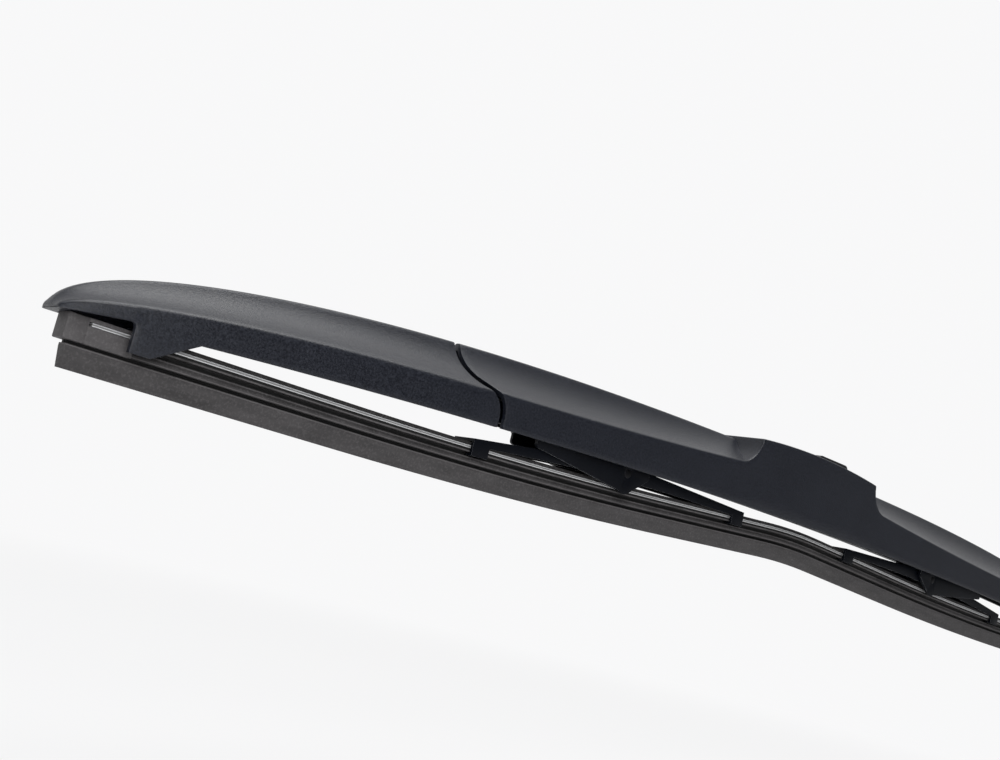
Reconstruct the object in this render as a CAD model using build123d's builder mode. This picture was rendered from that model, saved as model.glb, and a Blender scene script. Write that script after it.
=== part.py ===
"""Hybrid wiper blade: moulded spoiler covers over sprung steel levers that hold a rubber wiping edge.

The arm pivot is the origin. X runs along the blade, -Y faces the air stream and Z points away from the
glass. Heights called "over strips" count from the steel strips in the rubber at the middle of the blade.
Pieces on the right (+X) are drawn, and the left ones are their mirror images. Sizes are in millimetres.
"""
import os
from math import atan, cos, radians, sin, sqrt, tan

from build123d import *

os.makedirs("parts", exist_ok=True)

# Stations along the blade, from the middle outwards
hump_half = 38.5
inner_claw_x = 37.4
outer_claw_x = 163.5
lever_pivot_x = 156.0
seam_x = 163.0
rubber_half = 294.5
tip_claw_inset = 21.5
strip_end_gap = 0.5
cover_overhang = 3.5

# Line of the steel strips: a crowned middle, straight flanks and a flat run to the ends
pivot_over_strips = 15.0
crown_radius = 300.0
flank_slope = 3.1
flank_start = 75.0
flank_radius = 2600.0
flank_turn = 3.0

# Wiper rubber section, from the strips up to the head and down to the lip
strip_thickness = 0.9
strip_width = 2.3
strip_play = 0.05
head_half = 3.1
head_cap = 1.0
head_band = 1.15
claw_groove = 1.1
claw_neck_half = 1.2
shoulder_half = 3.0
shoulder_slope = 0.5
shoulder_height = 2.1
tilt_gap = 0.85
tilt_neck_half = 0.5
lip_height = 5.9
lip_half = 1.9
lip_step = 0.8
lip_edge_half = 0.35
end_wall = 5.5
end_block_play = 0.5
lip_end_inset = 1.7

# Covers: heights over strips, and how far the outline falls towards the tips
cover_half = 10.0
cover_tip_half = 4.55
cover_wall = 1.4
skirt_bottom = 3.3
skirt_bow_radius = 4300.0
rear_lift = 2.5
crest_height = 27.3
crest_tip_height = -5.9
crest_power = 2.35
crest_setback = 4.0
crest_width = 2.2
nose_depth = 1.5
wall_rise = 9.0
wall_power = 4
plan_power = 2.2
scoop_rise = 5.0
slope_hollow = 0.09
hump_height = 30.2
hump_radius = 380.0
hump_flare = 11.0
hump_wall = 1.5
hump_pocket_half = 33.0
seam_gap = 2.1
seam_lean = 13.0
seam_low = 3.0
seam_high = 20.0
leg_slant = 12.0
leg_toe = 1.0
leg_heel = 6.7
leg_corner = 1.2
leg_under_strips = 4.0
heel_lift = 1.7
nose_lift = 0.6
cavity_end = 3.5
rib_thickness = 1.2
rib_seat_gap = 0.1
rib_root = 0.3
rib_from_seam = 32.0
rib_from_leg = 11.0
centre_rib_x = 60.0
rib_pitch = 28.0
crest_thickening = 1.6
clip_length = 6.0
clip_height = 1.2
clip_reach = 0.7
clip_gap = 0.15
centre_clip_x = 74.0
clip_from_rib = 12.0

# Steel gauges and the gaps between the channels that nest in each other
claw_play = 0.3
yoke_steel = 0.9
lever_steel = 1.0
primary_steel = 1.0
joint_gap = 0.6
bush_play = 0.05
fit_play = 0.02
pin_play = 0.04

# Yokes
claw_length = 6.5
claw_lip = 0.6
claw_lip_gap_half = 1.75
yoke_rise = 7.4
yoke_wall_low = 0.7
yoke_arch = 2.3
yoke_pin_over_chord = 4.7
yoke_pin_radius = 1.5

# Side levers and primary lever
ear_width = 10.5
ear_top_over_yoke = 2.6
ear_under_strips = 1.5
ear_tip_half = 2.7
nose_x = 143.5
nose_drop = 1.9
lever_under_ridge = 1.8
lever_over_skirt = 2.0
lever_tip_length = 15.0
lever_corner = 1.2
lever_pin_radius = 1.75
lever_pin_under_top = 2.6
lever_end_radius = 2.75
primary_under_ridge = 1.65
primary_slope = 3.2
primary_web_end = 118.0
primary_web_start = 42.0
primary_cheek_top = 21.0
primary_cheek_half = 18.0
primary_low = 5.5
primary_low_end = 60.0
primary_corner = 8.0
bush_half = 4.5

# Arm adapter and the rivet it turns on
rivet_radius = 2.5
barrel_radius = 5.0
hook_width = 9.0
hook_play = 0.2
adapter_cheek = 1.6
adapter_front_x = 22.0
adapter_back_x = 13.0
adapter_roof_x = 3.0
adapter_roof = 3.5
adapter_top_over_hump = 1.6
adapter_low = 6.0
adapter_corner = 2.2

# Values that follow from the sizes above
tip_claw_x = rubber_half - tip_claw_inset
strip_half = rubber_half - end_wall - strip_end_gap
end_block_x = tip_claw_x + claw_length / 2 + end_block_play
cover_reach = rubber_half + cover_overhang
lever_tip_narrow_x = tip_claw_x - lever_tip_length
leg_toe_x = tip_claw_x + leg_toe
leg_heel_x = tip_claw_x + leg_heel
leg_start_x = leg_toe_x - leg_slant
strip_mid_z = -pivot_over_strips
strip_edge = head_half + claw_play
strip_root = strip_edge - strip_width
claw_inner = strip_edge + claw_play
yoke_half = claw_inner + yoke_steel
lever_inner = yoke_half + joint_gap
lever_half = lever_inner + lever_steel
primary_inner = lever_half + joint_gap
primary_half = primary_inner + primary_steel
groove_half = strip_thickness / 2 + strip_play
head_top = groove_half + head_cap
band_bottom = -groove_half - head_band
shoulder_top = band_bottom - claw_groove
shoulder_bottom = shoulder_top - shoulder_height
lip_top = shoulder_bottom - tilt_gap
lip_bottom = lip_top - lip_height
claw_ceiling = head_top + claw_play
claw_top = claw_ceiling + yoke_steel
claw_floor = (band_bottom + shoulder_top - claw_lip) / 2
yoke_x = (inner_claw_x + outer_claw_x) / 2
adapter_half = hook_width / 2 + hook_play + adapter_cheek
far = 2 * cover_half


# Guide curves of the blade
flank_angle = radians(flank_slope)
end_angle = radians(flank_slope - flank_turn)
crown_end = crown_radius * sin(flank_angle)
flank_end = flank_start + flank_radius * (sin(flank_angle) - sin(end_angle))


def strip_z(x):
    """Height of the strips' middle at station x."""
    crown_z = strip_mid_z - crown_radius + sqrt(crown_radius**2 - min(x, crown_end) ** 2)
    if x <= crown_end:
        return crown_z
    flank_z = crown_z - (min(x, flank_start) - crown_end) * tan(flank_angle)
    if x <= flank_start:
        return flank_z
    centre_x = flank_start + flank_radius * sin(flank_angle)
    centre_z = flank_z + flank_radius * cos(flank_angle)
    rise_z = centre_z - sqrt(flank_radius**2 - (min(x, flank_end) - centre_x) ** 2)
    return rise_z - max(x - flank_end, 0) * tan(end_angle)


def bottom_z(x):
    """Height of the covers' lower edge."""
    return strip_mid_z + skirt_bottom - skirt_bow_radius + sqrt(skirt_bow_radius**2 - x**2)


def ridge_z(x):
    """Height of the edge between the covers' front wall and their slope."""
    wall = nose_depth + wall_rise * sqrt(max(1 - (x / cover_reach) ** wall_power, 0))
    scoop = scoop_rise * (max(seam_x - x, 0) / (seam_x - hump_half)) ** 2
    return bottom_z(x) + wall + scoop


def crest_z(x):
    """Height of the crest of the covers' slope."""
    fall = sqrt(max(1 - (x / cover_reach) ** crest_power, 0))
    return strip_mid_z + crest_tip_height + (crest_height - crest_tip_height) * fall


def half_width(x):
    """Half width of the covers: even along the middle cover, drawn in towards the tip."""
    run = max(x - lever_pivot_x, 0) / (cover_reach - lever_pivot_x)
    return cover_tip_half + (cover_half - cover_tip_half) * sqrt(max(1 - run**plan_power, 0))


def strip_line(end_x):
    """Line of the strips from the middle of the blade out to end_x."""
    def arc(start, end):
        middle = (start + end) / 2
        ThreePointArc((start, strip_z(start)), (middle, strip_z(middle)), (end, strip_z(end)))

    with BuildLine(Plane.XZ) as line:
        arc(0, crown_end)
        Line((crown_end, strip_z(crown_end)), (flank_start, strip_z(flank_start)))
        arc(flank_start, flank_end)
        Line((flank_end, strip_z(flank_end)), (end_x, strip_z(end_x)))
    return line.line


def slope_middle(start, end):
    """Deepest point of the hollow slope between the ridge and the crest."""
    run = end[0] - start[0]
    rise = end[1] - start[1]
    return (start[0] + run / 2 + slope_hollow * rise, start[1] + rise / 2 - slope_hollow * run)


def cover_section(x, inset, floor):
    """Section of a cover at station x: its outer skin, or with an inset the flat-sided space inside it."""
    half = half_width(x) - inset
    ridge = ridge_z(x) - inset
    crest = crest_z(x) - crest_thickening * inset
    crest_y = crest_setback * half_width(x) / cover_half
    crest_front = crest_y - crest_width / 2 + inset / 3
    crest_back = crest_y + crest_width / 2 - inset / 3
    with BuildSketch(Plane.YZ.offset(x)) as section:
        with BuildLine():
            foot = (-half, ridge)
            middle = slope_middle(foot, (crest_front, crest))
            if inset:
                Polyline(foot, middle, (crest_front, crest))
            else:
                ThreePointArc(foot, middle, (crest_front, crest))
            Polyline((crest_front, crest), (crest_back, crest), (half, ridge), (half, floor),
                     (-half, floor), (-half, ridge))
        make_face()
    return section.sketch


def seam_curve(shift):
    """S-shaped joint line between the covers, moved outwards square to itself by shift."""
    low = strip_mid_z + seam_low
    high = strip_mid_z + seam_high
    span = high - low
    radius = (seam_lean**2 + span**2) / (4 * seam_lean)
    turn = 2 * atan(seam_lean / span)

    def lower(angle):
        return (seam_x + radius - (radius - shift) * cos(angle), low + (radius - shift) * sin(angle))

    def upper(angle):
        return (seam_x + seam_lean - radius + (radius + shift) * cos(angle),
                high - (radius + shift) * sin(angle))

    Line((seam_x + shift, bottom_z(seam_x + shift)), lower(0))
    ThreePointArc(lower(0), lower(turn / 2), lower(turn))
    ThreePointArc(lower(turn), upper(turn / 2), upper(0))


def snap_clip(x, inner_y, hook_z):
    """Barb inside a cover's front wall at station x that hooks under a channel's lower edge at hook_z."""
    root = half_width(x) - cover_wall + rib_root
    with BuildSketch(Plane.YZ.offset(x)) as section:
        with BuildLine():
            Polyline((-root, hook_z), (-inner_y, hook_z), (-inner_y, hook_z - clip_height / 2),
                     (-root, hook_z - clip_height), close=True)
        make_face()
    return section.sketch


def skirt_arc(start_x, end_x):
    """Lower edge of a cover from start_x to end_x."""
    middle = (start_x + end_x) / 2
    ThreePointArc((start_x, bottom_z(start_x)), (middle, bottom_z(middle)), (end_x, bottom_z(end_x)))


def rear_gap(start_x, end_x):
    """Outline of what a cover's rear wall stops short of its front wall, from start_x to end_x."""
    def rear_z(x):
        return bottom_z(x) + rear_lift

    with BuildSketch(Plane.XZ) as section:
        with BuildLine():
            middle = (start_x + end_x) / 2
            ThreePointArc((start_x, rear_z(start_x)), (middle, rear_z(middle)), (end_x, rear_z(end_x)))
            Polyline((end_x, rear_z(end_x)), (end_x, -2 * far), (start_x, -2 * far),
                     (start_x, rear_z(start_x)))
        make_face()
    return section.sketch


# Wiper rubber: head, claw groove, shoulder, tilting neck and lip, with a moulded block at each end
strip_plane = Plane(origin=(0, 0, strip_mid_z), x_dir=(0, 1, 0), z_dir=(1, 0, 0))

with BuildPart() as wiper_rubber:
    with BuildSketch(strip_plane):
        with BuildLine():
            Polyline(
                (0, head_top), (head_half, head_top), (head_half, groove_half),
                (strip_root - strip_play, groove_half), (strip_root - strip_play, -groove_half),
                (head_half, -groove_half), (head_half, band_bottom), (claw_neck_half, band_bottom),
                (claw_neck_half, shoulder_top), (shoulder_half - shoulder_slope, shoulder_top),
                (shoulder_half, shoulder_bottom), (tilt_neck_half, shoulder_bottom),
                (tilt_neck_half, lip_top), (lip_half, lip_top), (lip_half, lip_top - lip_step),
                (lip_edge_half, lip_bottom), (0, lip_bottom))
            mirror(about=Plane.YZ)
        make_face()
    sweep(path=strip_line(rubber_half))
    block_z = strip_z((end_block_x + rubber_half) / 2)
    with BuildSketch(Plane.XZ):
        with BuildLine():
            Polyline((end_block_x, block_z + head_top), (rubber_half, block_z + head_top),
                     (rubber_half, block_z + shoulder_bottom),
                     (end_block_x, block_z + shoulder_bottom), close=True)
        make_face()
    extrude(amount=head_half + strip_play, both=True)
    slot_end_x = strip_half + strip_end_gap
    slot_length = slot_end_x - end_block_x
    slot_y = strip_root - strip_play
    with BuildSketch(Plane.XZ.offset(slot_y), Plane.XZ.offset(-slot_y - far)):
        with Locations((slot_end_x - slot_length / 2, block_z)):
            Rectangle(slot_length, 2 * groove_half)
    extrude(amount=far, mode=Mode.SUBTRACT)
    with BuildSketch(Plane.XZ):
        with Locations((rubber_half, block_z + shoulder_bottom - far / 2)):
            Rectangle(2 * lip_end_inset, far)
    extrude(amount=far, both=True, mode=Mode.SUBTRACT)
    mirror(about=Plane.YZ)
wiper_rubber.part.label = "wiper_rubber"
export_step(wiper_rubber.part, "parts/wiper_rubber.step")


# Two spring steel strips that stiffen the rubber, one in each side groove of its head
with BuildPart() as vertebra_front:
    with BuildSketch(strip_plane):
        with Locations((-strip_root - strip_width / 2, 0)):
            Rectangle(strip_width, strip_thickness)
    sweep(path=strip_line(strip_half))
    mirror(about=Plane.YZ)
vertebra_front.part.label = "vertebra_front"
export_step(vertebra_front.part, "parts/vertebra_front.step")

with BuildPart() as vertebra_rear:
    add(mirror(vertebra_front.part, about=Plane.XZ, mode=Mode.PRIVATE))
vertebra_rear.part.label = "vertebra_rear"
export_step(vertebra_rear.part, "parts/vertebra_rear.step")


# Yokes: steel channels with a claw at each end, drawn on the chord between their two claws
yoke_fall = strip_z(outer_claw_x) - strip_z(inner_claw_x)
yoke_mid_z = (strip_z(outer_claw_x) + strip_z(inner_claw_x)) / 2
yoke_plane = Plane(origin=(yoke_x, 0, yoke_mid_z), x_dir=(outer_claw_x - inner_claw_x, 0, yoke_fall),
                   z_dir=(0, -1, 0))
claw_u = sqrt((outer_claw_x - inner_claw_x) ** 2 + yoke_fall**2) / 2
claw_far = claw_u + claw_length / 2
claw_near = claw_u - claw_length / 2

with BuildPart() as yoke_right:
    with BuildSketch(yoke_plane):
        with BuildLine():
            Polyline((claw_near, yoke_wall_low), (claw_near, claw_floor), (claw_far, claw_floor),
                     (claw_far, claw_top), (bush_half, yoke_rise), (-bush_half, yoke_rise),
                     (-claw_far, claw_top), (-claw_far, claw_floor), (-claw_near, claw_floor),
                     (-claw_near, yoke_wall_low))
            ThreePointArc((-claw_near, yoke_wall_low), (0, yoke_arch), (claw_near, yoke_wall_low))
        make_face()
    extrude(amount=yoke_half, both=True)
    with BuildSketch(yoke_plane):
        with BuildLine():
            Polyline((claw_far, claw_ceiling), (bush_half, yoke_rise - yoke_steel),
                     (-bush_half, yoke_rise - yoke_steel), (-claw_far, claw_ceiling),
                     (-claw_far, claw_floor - claw_lip), (claw_far, claw_floor - claw_lip), close=True)
        make_face()
    extrude(amount=claw_inner, both=True, mode=Mode.SUBTRACT)
    lip_width = (yoke_half + claw_inner) / 2 - claw_lip_gap_half
    with BuildSketch(yoke_plane.offset(claw_lip_gap_half)):
        with Locations((claw_u, claw_floor + claw_lip / 2), (-claw_u, claw_floor + claw_lip / 2)):
            Rectangle(claw_length, claw_lip)
    extrude(amount=lip_width)
    with BuildSketch(yoke_plane.offset(-claw_lip_gap_half)):
        with Locations((claw_u, claw_floor + claw_lip / 2), (-claw_u, claw_floor + claw_lip / 2)):
            Rectangle(claw_length, claw_lip)
    extrude(amount=-lip_width)
    with BuildSketch(yoke_plane):
        with Locations((0, yoke_pin_over_chord)):
            Circle(yoke_pin_radius + pin_play)
    extrude(amount=far, both=True, mode=Mode.SUBTRACT)
yoke_right.part.label = "yoke_right"
export_step(yoke_right.part, "parts/yoke_right.step")

with BuildPart() as yoke_left:
    add(mirror(yoke_right.part, about=Plane.YZ, mode=Mode.PRIVATE))
yoke_left.part.label = "yoke_left"
export_step(yoke_left.part, "parts/yoke_left.step")


# Yoke bushes: nylon saddles over the middle of a yoke, notched over its pin, inside the lever's ear
yoke_bush_half = lever_inner - bush_play
saddle_wall = joint_gap - 2 * bush_play
saddle_top = yoke_rise + bush_play + saddle_wall

with BuildPart() as yoke_bush_right:
    with BuildSketch(yoke_plane):
        with BuildLine():
            Polyline((-bush_half, saddle_top), (bush_half, saddle_top),
                     (bush_half, yoke_pin_over_chord), (-bush_half, yoke_pin_over_chord), close=True)
        make_face()
    extrude(amount=yoke_bush_half, both=True)
    with BuildSketch(yoke_plane):
        with BuildLine():
            Polyline((-far, yoke_rise + bush_play), (far, yoke_rise + bush_play), (far, -far),
                     (-far, -far), close=True)
        make_face()
    extrude(amount=yoke_half + bush_play, both=True, mode=Mode.SUBTRACT)
    with BuildSketch(yoke_plane):
        with Locations((0, yoke_pin_over_chord)):
            Circle(yoke_pin_radius + pin_play)
    extrude(amount=far, both=True, mode=Mode.SUBTRACT)
yoke_bush_right.part.label = "yoke_bush_right"
export_step(yoke_bush_right.part, "parts/yoke_bush_right.step")

with BuildPart() as yoke_bush_left:
    add(mirror(yoke_bush_right.part, about=Plane.YZ, mode=Mode.PRIVATE))
yoke_bush_left.part.label = "yoke_bush_left"
export_step(yoke_bush_left.part, "parts/yoke_bush_left.step")


# Yoke pins: plain pins pressed flush into a lever's ears, which a yoke rocks on
yoke_pin_at = yoke_plane.from_local_coords((0, yoke_pin_over_chord, 0))
yoke_pin_plane = Plane(origin=yoke_pin_at, x_dir=(1, 0, 0), z_dir=(0, -1, 0))

with BuildPart() as yoke_pin_right:
    with BuildSketch(yoke_pin_plane):
        Circle(yoke_pin_radius)
    extrude(amount=lever_half, both=True)
yoke_pin_right.part.label = "yoke_pin_right"
export_step(yoke_pin_right.part, "parts/yoke_pin_right.step")

with BuildPart() as yoke_pin_left:
    add(mirror(yoke_pin_right.part, about=Plane.YZ, mode=Mode.PRIVATE))
yoke_pin_left.part.label = "yoke_pin_left"
export_step(yoke_pin_left.part, "parts/yoke_pin_left.step")


# Side levers: steel channels with an ear for the yoke, a pivot on the primary lever and a claw at the tip
lever_peak_z = ridge_z(lever_pivot_x) - lever_under_ridge
lever_end_z = ridge_z(lever_tip_narrow_x) - lever_under_ridge
lever_pivot_z = lever_peak_z - lever_pin_under_top
ear_top_z = yoke_mid_z + yoke_rise + ear_top_over_yoke
ear_low_z = strip_z(yoke_x) - ear_under_strips
ear_start_x = yoke_x - ear_width
ear_end_x = yoke_x + ear_width / 2
tip_end_x = tip_claw_x + claw_length / 2
tip_fall = (lever_end_z - lever_peak_z) / (lever_tip_narrow_x - lever_pivot_x)


def lever_top(x):
    """Height of a side lever's top, outboard of its pivot."""
    return lever_peak_z + tip_fall * (x - lever_pivot_x)


def lever_low(x):
    """Height of a side lever's lower edge, outboard of its nose."""
    nose_z = bottom_z(nose_x) + lever_over_skirt
    end_z = bottom_z(lever_tip_narrow_x) + lever_over_skirt
    return nose_z + (end_z - nose_z) * (x - nose_x) / (lever_tip_narrow_x - nose_x)


with BuildPart() as side_lever_right:
    with BuildSketch(Plane.XZ) as outline:
        with BuildLine():
            Polyline((yoke_x - ear_tip_half, ear_low_z + ear_tip_half / 2), (ear_start_x, yoke_pin_at.Z),
                     (ear_start_x, ear_top_z), (ear_end_x, ear_top_z), (lever_pivot_x, lever_peak_z),
                     (lever_tip_narrow_x, lever_end_z),
                     (lever_tip_narrow_x, lever_low(lever_tip_narrow_x)),
                     (nose_x, lever_low(nose_x)), (nose_x, bottom_z(nose_x) - nose_drop),
                     (yoke_x + ear_tip_half, ear_low_z + ear_tip_half / 4))
            ThreePointArc((yoke_x + ear_tip_half, ear_low_z + ear_tip_half / 4), (yoke_x, ear_low_z),
                          (yoke_x - ear_tip_half, ear_low_z + ear_tip_half / 2))
        make_face()
        fillet(outline.vertices().group_by(Axis.X)[0], lever_corner)
        fillet(outline.vertices().filter_by_position(Axis.X, nose_x, nose_x), lever_corner)
    extrude(amount=lever_half, both=True)
    with BuildSketch(Plane.XZ):
        with BuildLine():
            Polyline((ear_start_x - far, ear_top_z - lever_steel), (ear_end_x, ear_top_z - lever_steel),
                     (lever_pivot_x, lever_peak_z - lever_steel),
                     (lever_tip_narrow_x + far, lever_top(lever_tip_narrow_x + far) - lever_steel),
                     (lever_tip_narrow_x + far, ear_low_z - far), (ear_start_x - far, ear_low_z - far),
                     close=True)
        make_face()
    extrude(amount=lever_inner, both=True, mode=Mode.SUBTRACT)
    tip_strip_z = strip_z(tip_claw_x)
    tip_start_x = lever_tip_narrow_x - claw_length
    tip_bend_x = lever_tip_narrow_x + claw_length / 2
    with BuildSketch(Plane.XZ):
        with BuildLine():
            Polyline((tip_start_x, lever_top(tip_start_x) - lever_steel / 4),
                     (tip_bend_x, lever_top(tip_bend_x) - lever_steel / 4),
                     (tip_end_x, tip_strip_z + claw_top), (tip_end_x, tip_strip_z + claw_floor),
                     (tip_end_x - claw_length, tip_strip_z + claw_floor),
                     (tip_end_x - claw_length, tip_strip_z + yoke_wall_low),
                     (tip_start_x, lever_top(tip_start_x) - 2 * lever_steel), close=True)
        make_face()
    extrude(amount=yoke_half, both=True)
    with BuildSketch(Plane.XZ):
        with BuildLine():
            Polyline((tip_start_x, lever_top(tip_start_x) - 1.25 * lever_steel),
                     (tip_bend_x, lever_top(tip_bend_x) - 1.25 * lever_steel),
                     (tip_end_x, tip_strip_z + claw_ceiling),
                     (tip_end_x, tip_strip_z + claw_floor - claw_lip),
                     (tip_start_x, tip_strip_z + claw_floor - claw_lip), close=True)
        make_face()
    extrude(amount=claw_inner, both=True, mode=Mode.SUBTRACT)
    with BuildSketch(Plane.XZ.offset(claw_lip_gap_half),
                     Plane.XZ.offset(-claw_lip_gap_half - lip_width)):
        with Locations((tip_claw_x, tip_strip_z + claw_floor + claw_lip / 2)):
            Rectangle(claw_length, claw_lip)
    extrude(amount=lip_width)
    with BuildSketch(Plane.XZ):
        with Locations((yoke_pin_at.X, yoke_pin_at.Z)):
            Circle(yoke_pin_radius + fit_play)
        with Locations((lever_pivot_x, lever_pivot_z)):
            Circle(lever_pin_radius + pin_play)
    extrude(amount=far, both=True, mode=Mode.SUBTRACT)
side_lever_right.part.label = "side_lever_right"
export_step(side_lever_right.part, "parts/side_lever_right.step")

with BuildPart() as side_lever_left:
    add(mirror(side_lever_right.part, about=Plane.YZ, mode=Mode.PRIVATE))
side_lever_left.part.label = "side_lever_left"
export_step(side_lever_left.part, "parts/side_lever_left.step")


# Lever bushes: nylon saddles over a side lever, notched over its pin, inside the primary lever
lever_bush_half = primary_inner - bush_play
lever_saddle_top = lever_peak_z + bush_play + saddle_wall

with BuildPart() as lever_bush_right:
    with BuildSketch(Plane.XZ):
        with BuildLine():
            Polyline((lever_pivot_x - bush_half, lever_saddle_top),
                     (lever_pivot_x + bush_half, lever_saddle_top),
                     (lever_pivot_x + bush_half, lever_pivot_z),
                     (lever_pivot_x - bush_half, lever_pivot_z), close=True)
        make_face()
    extrude(amount=lever_bush_half, both=True)
    with BuildSketch(Plane.XZ):
        with BuildLine():
            Polyline((lever_pivot_x - far, lever_peak_z + bush_play),
                     (lever_pivot_x + far, lever_peak_z + bush_play),
                     (lever_pivot_x + far, lever_pivot_z - far),
                     (lever_pivot_x - far, lever_pivot_z - far), close=True)
        make_face()
    extrude(amount=lever_half + bush_play, both=True, mode=Mode.SUBTRACT)
    with BuildSketch(Plane.XZ):
        with Locations((lever_pivot_x, lever_pivot_z)):
            Circle(lever_pin_radius + pin_play)
    extrude(amount=far, both=True, mode=Mode.SUBTRACT)
lever_bush_right.part.label = "lever_bush_right"
export_step(lever_bush_right.part, "parts/lever_bush_right.step")

with BuildPart() as lever_bush_left:
    add(mirror(lever_bush_right.part, about=Plane.YZ, mode=Mode.PRIVATE))
lever_bush_left.part.label = "lever_bush_left"
export_step(lever_bush_left.part, "parts/lever_bush_left.step")


# Lever pins: plain pins pressed flush into the ends of the primary lever, which the side levers rock on
lever_pin_plane = Plane(origin=(lever_pivot_x, 0, lever_pivot_z), x_dir=(1, 0, 0), z_dir=(0, -1, 0))

with BuildPart() as lever_pin_right:
    with BuildSketch(lever_pin_plane):
        Circle(lever_pin_radius)
    extrude(amount=primary_half, both=True)
lever_pin_right.part.label = "lever_pin_right"
export_step(lever_pin_right.part, "parts/lever_pin_right.step")

with BuildPart() as lever_pin_left:
    add(mirror(lever_pin_right.part, about=Plane.YZ, mode=Mode.PRIVATE))
lever_pin_left.part.label = "lever_pin_left"
export_step(lever_pin_left.part, "parts/lever_pin_left.step")


# Primary lever: one steel channel from pivot to pivot, open in the middle for the arm's hook
primary_end_z = ridge_z(lever_pivot_x) - primary_under_ridge


def primary_top(x):
    """Height of the primary lever's top at station x."""
    return primary_end_z + (lever_pivot_x - x) * tan(radians(primary_slope))


def primary_low_edge(x):
    """Height of the primary lever's lower edge, outboard of its level middle."""
    low = strip_mid_z + primary_low
    end = lever_pivot_z - lever_end_radius
    return low + (end - low) * (x - primary_low_end) / (lever_pivot_x - primary_low_end)


with BuildPart() as primary_lever:
    with BuildSketch(Plane.XZ) as outline:
        with BuildLine():
            Polyline((lever_pivot_x, lever_pivot_z - lever_end_radius),
                     (primary_low_end, strip_mid_z + primary_low), (0, strip_mid_z + primary_low),
                     (0, strip_mid_z + primary_cheek_top),
                     (primary_cheek_half, strip_mid_z + primary_cheek_top),
                     (primary_web_start, primary_top(primary_web_start)),
                     (lever_pivot_x, lever_pivot_z + lever_end_radius))
            ThreePointArc((lever_pivot_x, lever_pivot_z + lever_end_radius),
                          (lever_pivot_x + lever_end_radius, lever_pivot_z),
                          (lever_pivot_x, lever_pivot_z - lever_end_radius))
        make_face()
        bends = outline.vertices().filter_by_position(Axis.X, primary_cheek_half, primary_web_start)
        fillet(bends, primary_corner)
    extrude(amount=primary_half, both=True)
    with BuildSketch(Plane.XZ):
        with BuildLine():
            Polyline((0, -far), (0, far), (primary_web_start, far),
                     (primary_web_start, primary_top(primary_web_start) - primary_steel),
                     (primary_web_end, primary_top(primary_web_end) - primary_steel),
                     (primary_web_end, far), (lever_pivot_x + far, far), (lever_pivot_x + far, -far),
                     close=True)
        make_face()
    extrude(amount=primary_inner, both=True, mode=Mode.SUBTRACT)
    with BuildSketch(Plane.XZ):
        Circle(rivet_radius + fit_play)
        with Locations((lever_pivot_x, lever_pivot_z)):
            Circle(lever_pin_radius + fit_play)
    extrude(amount=far, both=True, mode=Mode.SUBTRACT)
    mirror(about=Plane.YZ)
primary_lever.part.label = "primary_lever"
export_step(primary_lever.part, "parts/primary_lever.step")


# Centre rivet: a plain pin pressed flush across the primary lever, which the arm adapter turns on
with BuildPart() as centre_rivet:
    with BuildSketch(Plane.XZ):
        Circle(rivet_radius)
    extrude(amount=primary_half, both=True)
centre_rivet.part.label = "centre_rivet"
export_step(centre_rivet.part, "parts/centre_rivet.step")


# Arm adapter: moulded barrel, two cheeks and a roof that the arm's hook snaps into
adapter_inner = adapter_half - adapter_cheek
adapter_top_z = strip_mid_z + hump_height + adapter_top_over_hump

with BuildPart() as arm_adapter:
    with BuildSketch(Plane.XZ) as outline:
        with BuildLine():
            Polyline((-adapter_back_x, -adapter_low), (-adapter_back_x, barrel_radius),
                     (adapter_roof_x, adapter_top_z), (adapter_front_x, adapter_top_z),
                     (adapter_front_x, barrel_radius), (adapter_back_x, -adapter_low), close=True)
        make_face()
        fillet(outline.vertices(), adapter_corner)
    extrude(amount=adapter_half, both=True)
    with BuildSketch(Plane.XZ):
        with BuildLine():
            Polyline((-far, -far), (-far, far), (adapter_roof_x, far),
                     (adapter_roof_x, adapter_top_z - adapter_roof),
                     (2 * far, adapter_top_z - adapter_roof), (2 * far, -far), close=True)
        make_face()
    extrude(amount=adapter_inner, both=True, mode=Mode.SUBTRACT)
    with BuildSketch(Plane.XZ):
        Circle(barrel_radius)
    extrude(amount=(adapter_half + adapter_inner) / 2, both=True)
    with BuildSketch(Plane.XZ):
        Circle(rivet_radius + pin_play)
    extrude(amount=far, both=True, mode=Mode.SUBTRACT)
arm_adapter.part.label = "arm_adapter"
export_step(arm_adapter.part, "parts/arm_adapter.step")


# Side covers: spoiler shells over the side levers, closed at the tip by a blunt nose
cover_floor = strip_z(tip_claw_x) - 2 * leg_under_strips
cover_sky = strip_mid_z + hump_height + far
cover_start_x = lever_pivot_x
cavity_end_x = cover_reach - cavity_end
skin_steps = 22
cavity_steps = 6


def stations(end_x, steps):
    """Section stations from the seam to end_x, closer together where the nose bends down."""
    run = end_x - cover_start_x
    return [cover_start_x + run * sin(radians(90 * step / steps)) for step in range(steps + 1)]


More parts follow.
